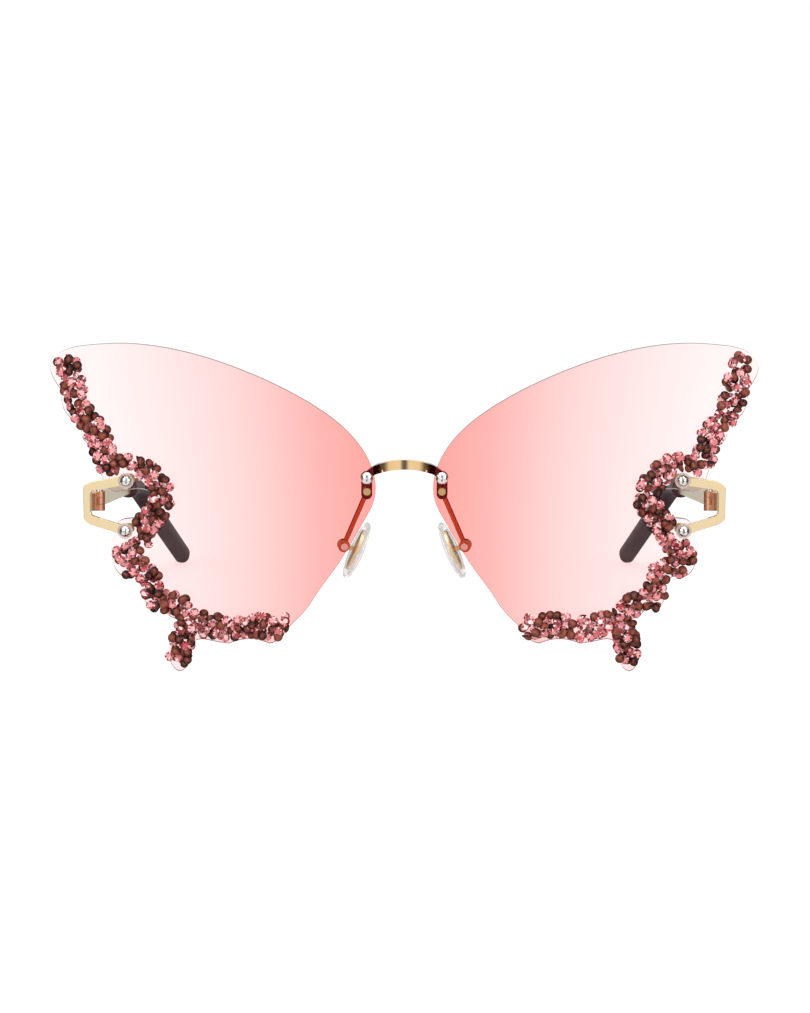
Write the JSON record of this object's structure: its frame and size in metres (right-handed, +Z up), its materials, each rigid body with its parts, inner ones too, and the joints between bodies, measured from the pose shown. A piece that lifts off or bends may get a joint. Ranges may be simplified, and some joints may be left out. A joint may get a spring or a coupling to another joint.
{
  "type": "butterfly sunglasses",
  "caption": "Rimless wing-shaped sunglasses with pink gradient lenses, cut stones along the wings, gold bridge and forks, nose pads on arms, and folding gold temples with dark tips",
  "frame": {"origin": "centre of the bounding box in plan, on the level surface that the lens tails and the temple tips stand on", "axes": "+X to the right as seen from the front (the wearer's left), +Y from the lenses towards the temple tips (the wearer's back), +Z up"},
  "size_m": [0.157, 0.1406, 0.0735],
  "materials": {
    "lens_tint": "clear moulded plastic, pink at the nose and fading to colourless at the sides",
    "stone_pink": "cut pink stone, faceted side out",
    "stone_foil": "cut stone, dark bronze foiled back out",
    "bridge_gold": "polished pale gold plating",
    "nut_gold": "polished pale gold plating",
    "peg_gold": "polished pale gold plating",
    "temple_gold": "polished pale gold plating",
    "hinge_gold": "satin rose gold plating",
    "core_gold": "polished pale gold plating",
    "screw_steel": "smooth bright steel",
    "washer_clear": "translucent plastic washer",
    "pad_silicone": "clear soft silicone",
    "tip_acetate": "dark brown mauve acetate, polished"
  },
  "bodies": {
    "front": {"bridge": "bridge_gold", "bridge_nuts": "nut_gold", "bridge_pegs": "peg_gold", "bridge_screws": "screw_steel", "endpiece_nuts": "nut_gold", "endpiece_screws": "screw_steel", "endpiece_washers": "washer_clear", "left_endpiece": "temple_gold", "left_hinge_front_leaf": "hinge_gold", "left_hinge_screw": "screw_steel", "left_lens": "lens_tint", "left_lower_stones_back": "stone_foil", "left_lower_stones_front": "stone_pink", "left_notch_stones_back": "stone_foil", "left_notch_stones_front": "stone_pink", "left_pad_arm": "bridge_gold", "left_pad_box": "bridge_gold", "left_pad_screw": "screw_steel", "left_tail_stones_back": "stone_foil", "left_tail_stones_front": "stone_pink", "left_wing_stones_back": "stone_foil", "left_wing_stones_front": "stone_pink", "right_endpiece": "temple_gold", "right_hinge_front_leaf": "hinge_gold", "right_hinge_screw": "screw_steel", "right_lens": "lens_tint", "right_lower_stones_back": "stone_foil", "right_lower_stones_front": "stone_pink", "right_notch_stones_back": "stone_foil", "right_notch_stones_front": "stone_pink", "right_pad_arm": "bridge_gold", "right_pad_box": "bridge_gold", "right_pad_screw": "screw_steel", "right_tail_stones_back": "stone_foil", "right_tail_stones_front": "stone_pink", "right_wing_stones_back": "stone_foil", "right_wing_stones_front": "stone_pink"},
    "left_temple_arm": {"left_hinge_temple_leaf": "hinge_gold", "left_temple": "temple_gold", "left_temple_tip": "tip_acetate"},
    "left_pad": {"left_nose_pad": "pad_silicone", "left_pad_core": "core_gold"},
    "right_temple_arm": {"right_hinge_temple_leaf": "hinge_gold", "right_temple": "temple_gold", "right_temple_tip": "tip_acetate"},
    "right_pad": {"right_nose_pad": "pad_silicone", "right_pad_core": "core_gold"}
  },
  "joints": [
    {"name": "right_temple_fold", "type": "hinge", "parent": "front", "child": "right_temple_arm", "pos_m": [0.06839, -0.05615, 0.03743], "axis": [0, 0.1132, 0.9936], "range_deg": [0, 85]},
    {"name": "left_temple_fold", "type": "hinge", "parent": "front", "child": "left_temple_arm", "pos_m": [-0.06839, -0.05615, 0.03743], "axis": [0, -0.1132, -0.9936], "range_deg": [0, 77]},
    {"name": "right_pad_rock", "type": "hinge", "parent": "front", "child": "right_pad", "pos_m": [0.0136, -0.06015, 0.02807], "axis": [-0.1591, -0.9848, -0.0695], "range_deg": [-10, 10]},
    {"name": "left_pad_rock", "type": "hinge", "parent": "front", "child": "left_pad", "pos_m": [-0.0136, -0.06015, 0.02807], "axis": [0.1591, -0.9848, -0.0695], "range_deg": [-10, 10]}
  ]
}
